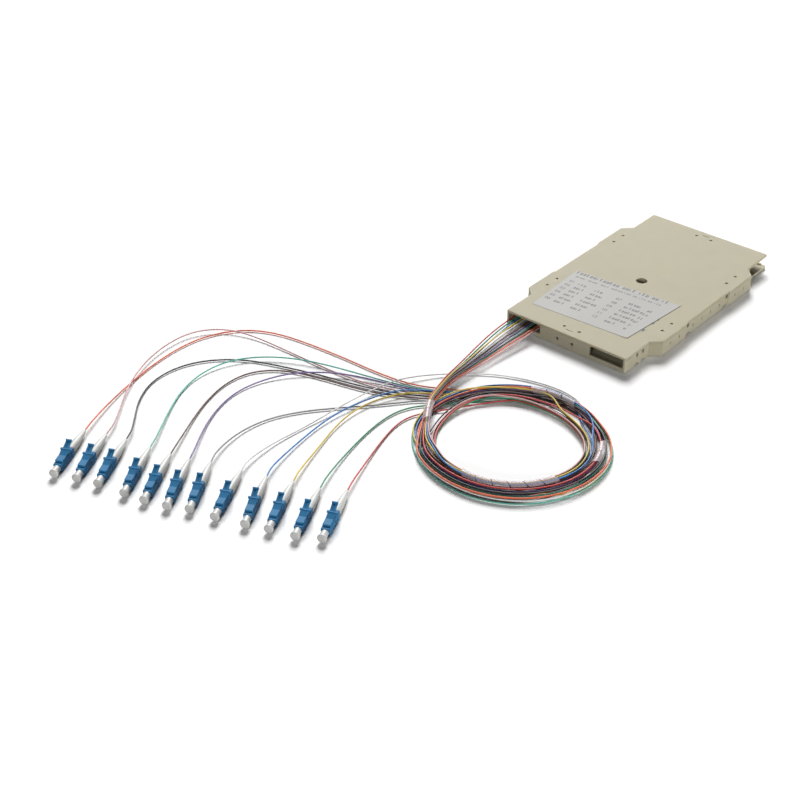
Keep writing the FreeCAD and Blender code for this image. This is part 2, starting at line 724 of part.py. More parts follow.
def make_boot():
    """The boot's taper, from the housing's rear face to the fibre."""
    waist = plug_length + boot_waist_place
    end = plug_length + boot_length
    tip_start = end - boot_tip_bevel
    tip_radius = boot_end_radius - boot_tip_bevel / 2
    return joined([
        tapered(plug_length, boot_start_radius, waist, boot_waist_radius),
        tapered(waist, boot_waist_radius, tip_start, boot_end_radius),
        tapered(tip_start, boot_end_radius, end, tip_radius),
    ])


def placed(shape, number):
    """Move a piece of a connector from the plug's own axis to where that plug lies."""
    tip_x, tip_y, heading = plug_places[number]
    turn = math.radians(heading)
    copy = shape.copy()
    copy.rotate(Vector(0, 0, 0), Vector(0, 0, 1), heading)
    copy.translate(Vector(tip_x - connector_length * math.cos(turn),
                          tip_y - connector_length * math.sin(turn), plug_axis_height))
    return copy


def cord_path(points):
    """Straight runs joined by tangent arcs, each as large as its two runs allow."""
    edges = []
    radii = []
    start = points[0]
    for before, corner, after in zip(points, points[1:], points[2:]):
        run_in = corner - before
        run_out = after - corner
        half_turn = run_in.getAngle(run_out) / 2
        setback = 0.45 * min(run_in.Length, run_out.Length)
        way_in = run_in.normalize()
        way_out = run_out.normalize()
        radius = setback / math.tan(half_turn)
        bulge = radius / math.cos(half_turn) - radius
        middle = corner + (way_out - way_in).normalize() * bulge
        arc_start = corner - way_in * setback
        arc_end = corner + way_out * setback
        edges.append(Part.LineSegment(start, arc_start).toShape())
        edges.append(Part.Arc(arc_start, middle, arc_end).toShape())
        radii.append(radius)
        start = arc_end
    edges.append(Part.LineSegment(start, points[-1]).toShape())
    return Part.Wire(edges), min(radii)


def fibre_tube(name, points):
    path, tightest = cord_path(points)
    section = Part.Wire(Part.makeCircle(fibre_radius, points[0], points[1] - points[0]))
    tube = path.makePipeShell([section], True, False)
    expected = math.pi * fibre_radius ** 2 * path.Length
    print("%s: length %.1f, tightest radius %.1f, volume %.4f of section times length"
          % (name, path.Length, tightest, tube.Volume / expected))
    return tube


def lead_points(number):
    lane = number - 1
    share = lane / (fibre_count - 1)
    points = []
    for y, first_x, last_x, low, rise in lead_stations:
        points.append(Vector(first_x + share * (last_x - first_x), y, low + rise * (lane % 3)))
    return points


def tail_points(number):
    tip_x, tip_y, heading = plug_places[number]
    points = [Vector(tip_x, tip_y, plug_axis_height)]
    return points + [Vector(*place) for place in tail_routes[number]]


def make_pigtail(number):
    lead = fibre_tube("lead %02d" % number, lead_points(number))
    tail = fibre_tube("tail %02d" % number, tail_points(number))
    return Part.makeCompound([lead, tail])


def build_parts():
    parts = {
        "cassette_tray": make_tray(),
        "cassette_lid": make_lid(),
        "label": make_label(),
        "splice_comb": make_splice_comb(),
        "splice_protectors": make_splice_protectors(),
        "fibre_store": make_fibre_store(),
        "fibre_coil": make_coil(),
    }
    for name, (inset, start, end) in sleeves.items():
        parts[name] = make_sleeve(coil_outer_radius - inset, start, end)
    housing = make_plug_housing()
    boot = make_boot()
    cap = make_dust_cap()
    ferrule = make_ferrule()
    numbers = range(1, fibre_count + 1)
    parts["ferrules"] = Part.makeCompound([placed(ferrule, number) for number in numbers])
    for number in numbers:
        parts["plug_housing_%02d" % number] = placed(housing, number)
        parts["boot_%02d" % number] = placed(boot, number)
        parts["dust_cap_%02d" % number] = placed(cap, number)
        parts["pigtail_%02d" % number] = make_pigtail(number)
    return parts


os.makedirs("parts", exist_ok=True)
for name, shape in build_parts().items():
    shape.exportStep("parts/" + name + ".step")
    print(name, "valid" if shape.isValid() else "NOT VALID", len(shape.Solids), "solids",
          "%.1f cubic mm" % shape.Volume)
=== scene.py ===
import math

import bmesh
import bpy
from mathutils import Matrix, Vector


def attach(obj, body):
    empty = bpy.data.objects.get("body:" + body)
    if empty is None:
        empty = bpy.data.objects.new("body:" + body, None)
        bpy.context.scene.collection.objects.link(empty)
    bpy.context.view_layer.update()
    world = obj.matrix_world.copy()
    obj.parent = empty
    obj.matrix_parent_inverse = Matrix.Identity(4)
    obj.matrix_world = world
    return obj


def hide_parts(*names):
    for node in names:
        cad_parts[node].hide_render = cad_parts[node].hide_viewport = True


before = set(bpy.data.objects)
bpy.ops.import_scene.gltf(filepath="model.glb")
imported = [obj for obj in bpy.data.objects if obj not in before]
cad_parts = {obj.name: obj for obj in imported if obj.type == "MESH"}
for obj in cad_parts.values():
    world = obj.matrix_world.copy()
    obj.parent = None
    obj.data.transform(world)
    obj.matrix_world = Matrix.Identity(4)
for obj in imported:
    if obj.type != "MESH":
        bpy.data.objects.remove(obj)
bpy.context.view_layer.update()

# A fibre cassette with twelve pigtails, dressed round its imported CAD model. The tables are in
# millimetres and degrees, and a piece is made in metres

mm = 0.001
fibre_count = 12
fibre_numbers = range(1, fibre_count + 1)
fibre_radius = 0.45 * mm

# Fibre number, colour name and jacket colour, in the usual order of the colour code
jackets = {
    1: ("red", (0.45, 0.05, 0.045)),
    2: ("green", (0.04, 0.24, 0.13)),
    3: ("blue", (0.03, 0.16, 0.42)),
    4: ("yellow", (0.55, 0.40, 0.05)),
    5: ("white", (0.66, 0.65, 0.64)),
    6: ("grey", (0.22, 0.22, 0.225)),
    7: ("brown", (0.09, 0.04, 0.03)),
    8: ("violet", (0.16, 0.11, 0.26)),
    9: ("turquoise", (0.10, 0.38, 0.30)),
    10: ("black", (0.015, 0.013, 0.015)),
    11: ("orange", (0.62, 0.12, 0.05)),
    12: ("pink", (0.52, 0.30, 0.30)),
}

# Where each plug lies: x and y of its boot's tip, and its direction in degrees
plug_places = {
    1: (-2.5, -265.4, 113.9), 2: (-14.4, -272.8, 114.9), 3: (-42.0, -283.2, 118.8),
    4: (-28.7, -277.5, 116.0), 5: (-55.6, -287.9, 115.7), 6: (-72.6, -293.3, 120.7),
    7: (-93.7, -302.2, 118.0), 8: (-82.9, -298.7, 120.2), 9: (-106.3, -305.2, 119.0),
    10: (-121.6, -308.1, 117.5), 11: (-144.7, -316.8, 116.3), 12: (-133.1, -312.0, 116.9),
}
plug_height = 2.6
boot_entry = 4.0            # a fibre runs straight over this length before its boot's tip

# The pigtails side by side from the comb to the coil, where they close up to three layers: y, x
# of the first and last fibre, the lowest z and the rise of one layer
layers = 3
lead_stations = (
    (-62.0, -38.8, -19.6, 5.0, 0.0),
    (-80.0, -38.8, -19.6, 5.0, 0.0),
    (-97.7, -37.8, -21.0, 4.0, 0.6),
    (-116.2, -35.3, -22.1, 2.8, 1.05),
    (-136.0, -31.7, -23.5, 2.5, 1.05),
    (-152.7, -29.0, -24.3, 2.9, 1.0),
    (-165.7, -25.4, -21.8, 3.3, 0.9),
    (-176.0, -22.2, -19.0, 3.7, 0.8),
)

# The coil: middle, and the radius of its six lanes by angle. Each line holds the angle and the
# radii of lanes 0, 2, 3 and 5, from the inside out
coil_x, coil_y = 33.4, -175.0
last_lane = 5
coil_lanes = (
    (0, 39.7, 43.4, 47.0, 53.4),
    (20, 39.5, 43.2, 47.4, 53.8),
    (40, 38.2, 43.0, 47.2, 52.4),
    (60, 36.2, 41.7, 46.9, 49.9),
    (80, 35.2, 41.0, 46.9, 49.2),
    (100, 35.4, 40.8, 46.9, 49.2),
    (120, 37.4, 42.5, 46.9, 49.6),
    (140, 40.0, 44.6, 47.4, 51.4),
    (160, 40.6, 44.0, 48.8, 52.6),
    (180, 40.2, 43.2, 51.4, 54.4),
    (200, 40.1, 43.0, 50.9, 53.8),
    (220, 40.4, 43.4, 48.8, 52.6),
    (240, 40.4, 43.4, 46.6, 51.4),
    (260, 40.2, 42.5, 45.4, 51.4),
    (280, 40.0, 42.3, 45.4, 52.2),
    (300, 40.0, 42.2, 45.6, 53.0),
    (320, 40.0, 42.2, 46.0, 53.6),
    (340, 40.1, 42.4, 46.4, 53.6),
)
# The fibres lie on the coil in an upper and a lower set of six. Each line holds an angle and the
# order of the set from there on, from the outermost lane inwards
upper_orders = (
    (220, (11, 10, 1, 4, 3, 12)),
    (262, (11, 10, 1, 3, 4, 12)),
    (436, (11, 3, 10, 1, 4, 12)),
    (474, (3, 11, 4, 10, 1, 12)),
    (530, (4, 3, 11, 10, 12, 1)),
    (606, (10, 11, 3, 4, 12, 1)),
    (704, (4, 10, 11, 3, 12, 1)),
    (826, (11, 3, 4, 12, 10, 1)),
)
lower_orders = (
    (220, (5, 9, 8, 7, 6, 2)),
    (546, (9, 5, 8, 7, 6, 2)),
)
swap_angle = 38             # fibres change places over this angle before the new order holds
cross_height = 0.95         # and one passes this much over or under the other
# Height of each set on its first and second turn, how far its lanes are shifted outwards, and
# how far its fibres stray from their lanes
turn_heights = {"upper": (3.26, 1.42), "lower": (2.34, 0.50)}
lane_shifts = {"upper": (-0.16, -0.04), "lower": (0.03, 0.10)}
stray = {"upper": 0.5, "lower": -0.4}
second_turn_stray = -0.7    # times the first turn's
waves_per_turn = 3          # of a fibre about its lane
wave_offset = 2.1           # keeps the waves of the two sets apart
# Angles of the control points: first turn, descent to the second turn with the share fallen, and
# second turn. Fibre 5 leaves the coil earlier
point_angle = 14
first_turn = (234, 500)
descent = ((504, 0.0), (520, 0.1), (538, 0.5), (556, 0.95))
descent_stray = 0.2
second_turn_start = 570
coil_ends = {number: 780 if number == 5 else 860 for number in fibre_numbers}
# A smooth curve runs this much inside its control points
bulge = math.cos(math.radians(point_angle / 2))
# Where the bundle of pigtails comes down on to the coil: angle, middle radius, spacing and lift
bundle_stations = ((189, 51.0, 0.66, 1.00), (199, 48.0, 0.66, 0.65), (210, 46.4, 0.80, 0.20),
                   (221, 46.0, 1.30, 0.05))

# Clear spiral wraps on the coil: first and last lane inside, middle radius, start and end angle
coil_wraps = {
    "upper": (3, 5, 48.0, 72, 117),
    "lower": (0, 2, 41.2, 259, 342),
    "right": (3, 3, 47.6, 2, 37),
}
# The left one lies where the bundle comes down, along this line
left_wrap_line = ((-20.4, -177.5, 4.4), (-17.3, -182.8, 4.1), (-13.2, -189.0, 3.9),
                  (-7.3, -197.0, 3.4))
wrap_height = 2.7
wrap_radius = 2.45
wrap_pitch = 8.5
wrap_cover = 0.92           # width of the strip of film, as a share of the pitch
wrap_thickness = 0.3
wrap_steps = 28             # in one turn of the strip
wrap_lift = 0.67            # a wrap raises the fibres inside it by this much
wrap_entry = 14.0           # and they rise over this angle before and after it

# Round pieces on a plug's own axis: place behind the plug's front face, and radius
connector_length = 34.4
boot_sides = 32
cap_sides = 36
boot_rings = (
    (15.5, 2.05), (15.65, 2.18), (17.0, 2.2), (19.0, 2.24), (21.0, 2.27), (22.6, 2.26),
    (24.4, 2.15), (26.6, 1.93), (29.0, 1.63), (31.2, 1.31), (33.2, 1.06), (34.1, 0.96),
    (34.4, 0.80), (34.4, 0.46),
)
cap_rings = (
    (-5.58, 0.2), (-5.60, 1.2), (-5.56, 1.90), (-5.44, 2.22), (-5.24, 2.42), (-4.95, 2.5),
    (-4.30, 2.5), (-4.10, 2.44), (-4.02, 2.32), (-4.0, 2.02), (-0.2, 2.02), (-0.2, 1.38),
    (4.0, 1.38), (4.2, 1.25), (4.2, 0.68), (-1.3, 0.68),
)

# Label on the lid: its corners from the front left round, and the generic print on it
lid_top = 9.8
label_thickness = 0.15
label_lift = 0.2            # its right edge stands up by this much
lift_start = 0.86           # and begins to lift at this share of its width
label_angle = 3.9
print_thickness = 0.02
pen_width = 0.3
label_corners = ((-34.5, -64.5), (30.1, -61.0), (34.3, -9.7), (-37.4, -14.5))
# Lines of marks: place of the first, marks in each word, pitch and height
print_lines = (
    (-35.5, -17.6, (13, 4, 3, 2, 3), 2.3, 2.3),
    (-33.5, -21.6, (5, 5, 4, 9, 2, 3, 2, 3), 1.5, 1.1),
)
# Two columns of numbered rows: x of the number, y of the first row, x of the two words
number_columns = ((-33.4, -29.0, -26.6, -14.6), (0.2, -28.6, 9.4, 22.6))
row_count = 6
row_pitch = 5.1
row_mark_pitch, row_mark_height = 1.85, 1.9
number_height = 2.6
digit_share = 0.7           # height of a digit, as a share of the font's size
# Marks in each of the two words, by column and row
word_lengths = (((3, 3), (4, 5), (4, 4), (4, 6), (5, 5), (4, 4)),
                ((5, 5), (7, 6), (6, 6), (7, 5), (6, 6), (4, 4)))
# Width and height of each kind of mark, in a word's own measure, and the kinds in turn
mark_sizes = {"open": (1.0, 1.0), "tall": (0.45, 1.35), "narrow": (0.30, 1.0)}
mark_kinds = ("open", "tall", "open", "narrow", "open", "open", "tall")
kind_step = 3
mark_share = 0.72           # of the pitch
word_gap = 0.9              # in pitches

# From the coil to the boot's tip, by fibre number
tail_routes = {
    1: ((-17.8, -182.9, 0.6), (-22.8, -191.5, 0.5), (-23.5, -202.5, 0.5), (-20.5, -216.0, 0.5),
        (-16.0, -230.0, 0.8), (-11.0, -244.0, 1.6), (-6.6, -256.0, 2.4)),
    2: ((-17.9, -172.9, 0.6), (-22.5, -177.5, 0.5), (-28.0, -184.5, 0.5), (-31.5, -194.0, 0.5),
        (-32.0, -207.0, 0.5), (-30.0, -222.0, 0.5), (-26.5, -238.0, 0.8), (-22.5, -252.0, 1.6),
        (-18.6, -263.5, 2.4)),
    3: ((-15.6, -158.1, 1.5), (-24.0, -163.3, 1.6), (-33.0, -168.5, 1.6), (-41.0, -175.0, 1.6),
        (-47.0, -185.0, 1.6), (-51.0, -198.0, 1.6), (-54.0, -213.0, 1.6), (-54.5, -229.0, 1.0),
        (-52.5, -246.0, 1.0), (-49.5, -262.0, 1.6), (-46.5, -274.0, 2.4)),
    4: ((-16.3, -160.3, 1.5), (-24.0, -166.0, 1.6), (-32.0, -171.5, 1.6), (-39.5, -178.5, 1.6),
        (-45.0, -189.0, 1.6), (-48.3, -201.5, 1.6), (-48.5, -215.0, 1.4), (-46.0, -229.0, 1.0),
        (-41.5, -243.0, 1.0), (-37.0, -257.0, 1.6), (-33.0, -268.5, 2.4)),
    5: ((45.0, -124.3, 0.6), (36.0, -119.0, 0.5), (23.0, -117.5, 0.5), (6.0, -120.5, 0.5),
        (-11.0, -127.5, 0.5), (-25.0, -137.5, 0.5), (-36.0, -149.0, 1.0), (-44.5, -160.5, 1.9),
        (-50.5, -171.5, 2.0), (-53.5, -184.0, 2.0), (-55.5, -197.5, 2.0), (-57.0, -211.5, 1.8),
        (-58.5, -226.0, 0.9), (-60.0, -241.0, 0.5), (-61.5, -256.0, 0.9), (-61.0, -270.0, 1.7),
        (-59.3, -280.0, 2.4)),
    6: ((-18.1, -169.6, 0.6), (-28.0, -176.0, 0.5), (-35.5, -185.0, 0.5), (-45.5, -197.5, 0.5),
        (-58.5, -211.5, 0.5), (-71.0, -226.5, 0.5), (-79.5, -242.0, 0.5), (-82.5, -258.0, 0.8),
        (-81.0, -273.0, 1.6), (-77.3, -285.0, 2.4)),
    7: ((-17.8, -167.0, 0.6), (-27.0, -172.7, 0.5), (-37.0, -179.0, 0.5), (-50.0, -186.0, 0.5),
        (-66.0, -191.0, 0.5), (-85.5, -195.5, 0.5), (-102.5, -201.0, 0.5), (-114.0, -208.5, 0.5),
        (-121.0, -219.5, 0.5), (-122.5, -234.0, 0.5), (-119.0, -250.0, 0.5), (-112.5, -266.0, 0.8),
        (-105.0, -280.5, 1.6), (-98.5, -293.0, 2.4)),
    8: ((-14.6, -155.6, 0.6), (-24.5, -163.0, 0.5), (-35.0, -169.0, 0.5), (-47.0, -173.5, 0.5),
        (-61.5, -178.0, 1.1), (-76.0, -184.5, 1.8), (-89.0, -192.5, 1.8), (-100.5, -203.5, 1.6),
        (-108.5, -217.5, 0.8), (-112.0, -234.0, 0.5), (-109.5, -250.0, 0.5), (-103.0, -266.0, 0.9),
        (-95.0, -279.5, 1.7), (-88.0, -290.0, 2.4)),
    9: ((-13.5, -153.2, 0.6), (-25.0, -161.3, 0.5), (-37.0, -168.5, 0.5), (-53.0, -173.5, 0.5),
        (-72.0, -179.0, 1.2), (-91.0, -184.5, 1.8), (-107.5, -190.5, 1.8), (-121.5, -199.0, 1.8),
        (-132.0, -210.0, 1.8), (-138.5, -223.0, 1.5), (-140.0, -239.0, 0.8), (-135.5, -256.0, 0.5),
        (-127.5, -271.0, 0.9), (-118.5, -285.0, 1.7), (-111.0, -296.5, 2.4)),
    10: ((-17.4, -164.8, 0.6), (-27.5, -170.3, 0.5), (-39.0, -177.3, 0.5), (-54.0, -184.0, 0.5),
         (-72.0, -189.3, 0.5), (-92.0, -194.5, 0.5), (-111.0, -201.0, 0.5), (-129.0, -208.0, 0.5),
         (-143.0, -218.5, 0.5), (-152.5, -231.5, 0.5), (-156.5, -247.0, 0.5),
         (-154.5, -263.0, 0.5), (-146.0, -278.0, 0.9), (-135.0, -290.0, 1.7),
         (-126.5, -299.5, 2.4)),
    11: ((-12.3, -150.7, 0.6), (-26.5, -159.3, 0.5), (-41.0, -167.0, 0.5), (-62.0, -170.5, 0.5),
         (-90.0, -171.2, 0.5), (-119.0, -173.5, 0.5), (-138.0, -177.0, 0.5), (-153.0, -184.5, 0.5),
         (-164.0, -198.0, 0.5), (-170.0, -217.0, 0.5), (-169.0, -243.0, 0.5),
         (-163.0, -270.0, 0.6), (-156.0, -291.0, 1.5), (-149.6, -306.5, 2.4)),
    12: ((-16.9, -162.3, 0.6), (-29.5, -168.8, 0.5), (-43.0, -176.8, 0.5), (-60.0, -182.3, 0.5),
         (-79.0, -185.5, 0.5), (-99.0, -186.6, 0.5), (-123.0, -187.0, 0.5), (-145.0, -188.5, 1.0),
         (-160.0, -193.0, 1.8), (-171.5, -202.5, 1.8), (-177.0, -216.0, 1.8),
         (-176.0, -236.0, 1.8), (-169.0, -257.0, 1.9), (-158.0, -276.0, 1.9),
         (-147.0, -290.0, 2.0), (-138.0, -302.0, 2.4)),
}

# Floor and light, in metres: a lamp's direction, distance, size and power
floor_size = 8.0
floor_place = (0.0, -0.1, -0.0003)
floor_white = (0.98, 0.98, 0.98)
floor_shade = (0.55, 0.55, 0.55)        # for the light that it throws back on the part
run_out = (0.50, 1.40)                  # the floor turns to plain white over this reach
seen_rays = ("Is Camera Ray", "Is Glossy Ray", "Is Transmission Ray")
world_light = 0.02
lamp_target = (0.0, -0.15, 0.0)
lamps = {
    "high_back_lamp": ((-0.70, 0.86, 0.90), 6.0, 2.8, 585.0),
    "low_right_lamp": ((0.97, 0.16, 0.07), 3.0, 0.40, 54.0),
    "low_front_lamp": ((0.34, -0.95, 0.30), 3.0, 0.50, 38.0),
}
camera_place = (0.4202, -0.7209, 0.4802)
camera_way = (-0.536, 0.630, -0.562)
camera_lens = 69.57
camera_sensor = 36.0


# Finishes

def new_finish(name, colour, roughness, **inputs):
    """A material with one shader, whose constant inputs sit on the shader's own sockets."""
    finish = bpy.data.materials.new(name)
    finish.use_nodes = True
    shader = finish.node_tree.nodes["Principled BSDF"]
    shader.inputs["Base Color"].default_value = (*colour, 1.0)
    shader.inputs["Roughness"].default_value = roughness
    for socket, value in inputs.items():
        shader.inputs[socket.replace("_", " ")].default_value = value
    return finish


def add_noise(finish, scale, detail):
    """Noise that stays on the piece's own coordinates."""
    nodes = finish.node_tree.nodes
    place = nodes.new("ShaderNodeTexCoord")
    noise = nodes.new("ShaderNodeTexNoise")
    noise.inputs["Scale"].default_value = scale
    noise.inputs["Detail"].default_value = detail
    finish.node_tree.links.new(place.outputs["Object"], noise.inputs["Vector"])
    return noise


def tint(finish, noise, low, high):
    """Colour that wanders between two shades."""
    nodes, links = finish.node_tree.nodes, finish.node_tree.links
    ramp = nodes.new("ShaderNodeValToRGB")
    ramp.color_ramp.elements[0].position = 0.35
    ramp.color_ramp.elements[0].color = (*low, 1.0)
    ramp.color_ramp.elements[1].position = 0.65
    ramp.color_ramp.elements[1].color = (*high, 1.0)
    links.new(noise.outputs["Fac"], ramp.inputs["Fac"])
    links.new(ramp.outputs["Color"], nodes["Principled BSDF"].inputs["Base Color"])


def rough_patches(finish, noise, low, high):
    """Roughness that wanders between two values."""
    nodes, links = finish.node_tree.nodes, finish.node_tree.links
    span = nodes.new("ShaderNodeMapRange")
    span.inputs["To Min"].default_value = low
    span.inputs["To Max"].default_value = high
    links.new(noise.outputs["Fac"], span.inputs["Value"])
    links.new(span.outputs["Result"], nodes["Principled BSDF"].inputs["Roughness"])


def grain(finish, noise, depth, strength):
    """A fine uneven surface."""
    nodes, links = finish.node_tree.nodes, finish.node_tree.links
    bump = nodes.new("ShaderNodeBump")
    bump.inputs["Distance"].default_value = depth
    bump.inputs["Strength"].default_value = strength
    links.new(noise.outputs["Fac"], bump.inputs["Height"])
    links.new(bump.outputs["Normal"], nodes["Principled BSDF"].inputs["Normal"])


def shades(colour, spread):
    """A darker and a lighter shade of a colour."""
    low = tuple(channel * (1 - spread) for channel in colour)
    high = tuple(min(1.0, channel * (1 + spread)) for channel in colour)
    return low, high


def moulded(name, colour, roughness, spread, **inputs):
    """Moulded plastic: slow drift of colour, patches of gloss and a fine grain."""
    finish = new_finish(name, colour, roughness, **inputs)
    slow = add_noise(finish, scale=38.0, detail=3.0)
    tint(finish, slow, *shades(colour, spread))
    rough_patches(finish, slow, low=roughness - 0.06, high=roughness + 0.08)
    fine = add_noise(finish, scale=2600.0, detail=2.0)
    grain(finish, fine, depth=0.00003, strength=0.35)
    return finish


def jacket_finish(number):
    """A smooth extruded jacket, with faint bands of shade along the fibre."""
    name, colour = jackets[number]
    finish = new_finish(name + " fibre jacket", colour, 0.38, Specular_IOR_Level=0.25)
    slow = add_noise(finish, scale=95.0, detail=2.0)
    tint(finish, slow, *shades(colour, spread=0.10))
    rough_patches(finish, slow, low=0.32, high=0.46)
    fine = add_noise(finish, scale=1800.0, detail=2.0)
    grain(finish, fine, depth=0.00002, strength=0.25)
    return finish


def clear_film(name, colour, cover):
    """A thin clear film: part of what is behind it shows through."""
    finish = new_finish(name, colour, 0.22, IOR=1.46, Alpha=cover)
    haze = add_noise(finish, scale=420.0, detail=3.0)
    tint(finish, haze, *shades(colour, spread=0.06))
    rough_patches(finish, haze, low=0.16, high=0.34)
    grain(finish, haze, depth=0.00006, strength=0.3)
    return finish


ivory = moulded("ivory plastic", (0.375, 0.347, 0.253), 0.60, 0.03, Specular_IOR_Level=0.12,
                Subsurface_Weight=0.5, Subsurface_Scale=0.003, Subsurface_Radius=(1.0, 0.8, 0.6))
blue_plastic = moulded("blue housing plastic", (0.022, 0.150, 0.312), 0.55, 0.08,
                       Specular_IOR_Level=0.12)
cap_plastic = moulded("cloudy cap plastic", (0.50, 0.50, 0.485), 0.42, 0.04,
                      Subsurface_Weight=0.15, Subsurface_Scale=0.001)
boot_rubber = moulded("off-white boot", (0.53, 0.53, 0.51), 0.46, 0.04,
                      Subsurface_Weight=0.15, Subsurface_Scale=0.001)
ceramic = moulded("white ceramic", (0.80, 0.79, 0.76), 0.12, 0.02)
comb_rubber = moulded("comb rubber", (0.03, 0.03, 0.032), 0.6, 0.1)
splice_film = moulded("shrunk splice sleeve", (0.45, 0.45, 0.43), 0.3, 0.05)
wound_glass = moulded("wound fibre", (0.27, 0.255, 0.22), 0.55, 0.25, Specular_IOR_Level=0.12)
label_paper = moulded("label film", (0.372, 0.366, 0.350), 0.55, 0.015, Specular_IOR_Level=0.12)
label_ink = moulded("grey label print", (0.045, 0.045, 0.048), 0.55, 0.15,
                    Specular_IOR_Level=0.2)
wrap_film = clear_film("clear spiral wrap", (0.60, 0.53, 0.55), 0.32)


def show_in(node, finish):
    """Give a CAD node a finish in place of its plain one."""
    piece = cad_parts[node]
    piece.data.materials.clear()
    piece.data.materials.append(finish)


def deselect():
    """Leave nothing selected."""
    for piece in bpy.context.selected_objects:
        piece.select_set(False)


def select_only(piece):
    """Select one piece and make it the active one."""
    deselect()
    piece.select_set(True)
    bpy.context.view_layer.objects.active = piece


def smooth_curve(name, places, resolution):
    """A smooth curve with these control points in millimetres, and its spline."""
    curve = bpy.data.curves.new(name, "CURVE")
    curve.dimensions = "3D"
    curve.resolution_u = resolution
    spline = curve.splines.new("NURBS")
    spline.points.add(len(places) - 1)
    for point, (x, y, z) in zip(spline.points, places):
        point.co = (x * mm, y * mm, z * mm, 1.0)
    spline.order_u = 3
    spline.use_endpoint_u = True
    piece = bpy.data.objects.new(name, curve)
    bpy.context.collection.objects.link(piece)
    return piece, spline


# Boots and dust caps

def round_piece(name, rings, sides, finish):
    """A round piece drawn out from a disc, ring after ring: place along the axis and radius."""
    deselect()
    place, radius = rings[0]
    bpy.ops.mesh.primitive_circle_add(vertices=sides, radius=radius * mm, fill_type="NGON",
                                      location=(0.0, 0.0, place * mm))
    piece = bpy.context.object
    piece.name = name
    bpy.ops.object.transform_apply(location=True, rotation=False, scale=False)
    bpy.ops.object.mode_set(mode="EDIT")
    bpy.ops.mesh.select_all(action="SELECT")
    for next_place, next_radius in rings[1:]:
        step = (0.0, 0.0, (next_place - place) * mm)
        bpy.ops.mesh.extrude_region_move(TRANSFORM_OT_translate={"value": step})
        growth = next_radius / radius
        bpy.ops.transform.resize(value=(growth, growth, 1.0),
                                 center_override=(0.0, 0.0, next_place * mm))
        place, radius = next_place, next_radius
    bpy.ops.mesh.select_all(action="SELECT")
    bpy.ops.mesh.normals_make_consistent(inside=False)
    bpy.ops.object.mode_set(mode="OBJECT")
    bpy.ops.object.shade_smooth_by_angle(angle=math.radians(50))
    piece.data.materials.append(finish)
    return piece


def copy_to_plug(pattern, name, number):
    """A copy of a piece that was made along +Z, laid on the axis of one plug."""
    tip_x, tip_y, heading = plug_places[number]
    turn = math.radians(heading)
    front = Vector((tip_x - connector_length * math.cos(turn),
                    tip_y - connector_length * math.sin(turn), plug_height)) * mm
    copy = pattern.copy()
    copy.data = pattern.data.copy()
    copy.name = name
    bpy.context.collection.objects.link(copy)
    copy.data.transform(Matrix.Translation(front) @ Matrix.Rotation(turn, 4, "Z")
                        @ Matrix.Rotation(math.radians(90), 4, "Y"))
    return copy


def make_boots():
    """One boot, copied to every plug."""
    pattern = round_piece("boot", boot_rings, boot_sides, boot_rubber)
    boots = {}
    for number in fibre_numbers:
        boot = copy_to_plug(pattern, "tapered_boot_%02d" % number, number)
        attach(boot, "cassette")
        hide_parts("boot_%02d" % number)
        boots[number] = boot
    bpy.data.objects.remove(pattern)
    return boots


def make_dust_caps():
    """One dust cap, copied to every plug, where it moves with its own body."""
    pattern = round_piece("cap", cap_rings, cap_sides, cap_plastic)
    for number in fibre_numbers:
        cap = copy_to_plug(pattern, "round_dust_cap_%02d" % number, number)
        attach(cap, "cap_%02d" % number)
        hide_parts("dust_cap_%02d" % number)
    bpy.data.objects.remove(pattern)


boots = make_boots()
make_dust_caps()


# Pigtails

def between(angle, column):
    """A lane radius of the coil table at any angle."""
    angle = angle % 360
    table = coil_lanes + ((360,) + coil_lanes[0][1:],)
    for low, high in zip(table, table[1:]):
        if low[0] <= angle <= high[0]:
            share = (angle - low[0]) / (high[0] - low[0])
            return low[column] + share * (high[column] - low[column])


def lane_radius(angle, lane):
    """Radius of any lane at any angle, from the two pairs of lanes in the table."""
    if lane <= 2:
        inner, outer = between(angle, 1), between(angle, 2)
        return inner + (outer - inner) * lane / 2
    inner, outer = between(angle, 3), between(angle, 4)
    return inner + (outer - inner) * (lane - 3) / 2


def in_wrap(angle, lane):
    """How far inside a clear wrap this stretch of a lane is, 0 to 1."""
    angle = angle % 360
    best = 0.0
    for first, last, middle, start, end in coil_wraps.values():
        if not first <= lane <= last:
            continue
        for turn in (-360, 0, 360):
            depth = min(angle + turn - start, end - angle - turn)
            best = max(best, min(1.0, 1.0 + depth / wrap_entry))
    return max(0.0, best)


def on_coil(angle, radius, height):
    """The control point that draws a curve through this place on the coil."""
    turn = math.radians(angle)
    reach = radius / bulge
    return (coil_x + reach * math.cos(turn), coil_y + reach * math.sin(turn), height)


def coil_point(angle, lane, height, shift, sway):
    """A control point of a fibre in its lane, straying a little where no wrap holds it."""
    inside = in_wrap(angle, lane)
    loose = 1.0 - inside
    wave = math.sin(math.radians(waves_per_turn * angle) + wave_offset * sway)
    radius = lane_radius(angle, lane + shift * loose) + sway * loose * wave
    return on_coil(angle, radius, height + wrap_lift * inside)


def lane_in_set(orders, number, angle, step):
    """Lane of a fibre in its set, and how high it passes over the fibres that it crosses."""
    lane = last_lane - orders[0][1].index(number)
    rise = 0.0
    for start, order in orders[1:]:
        new_lane = last_lane - order.index(number)
        share = min(1.0, max(0.0, (angle - start + swap_angle) / swap_angle))
        if new_lane > lane:
            rise += step * math.sin(math.pi * share)
        lane += (new_lane - lane) * share * share * (3 - 2 * share)
        if share < 1.0:
            break
    return lane, rise


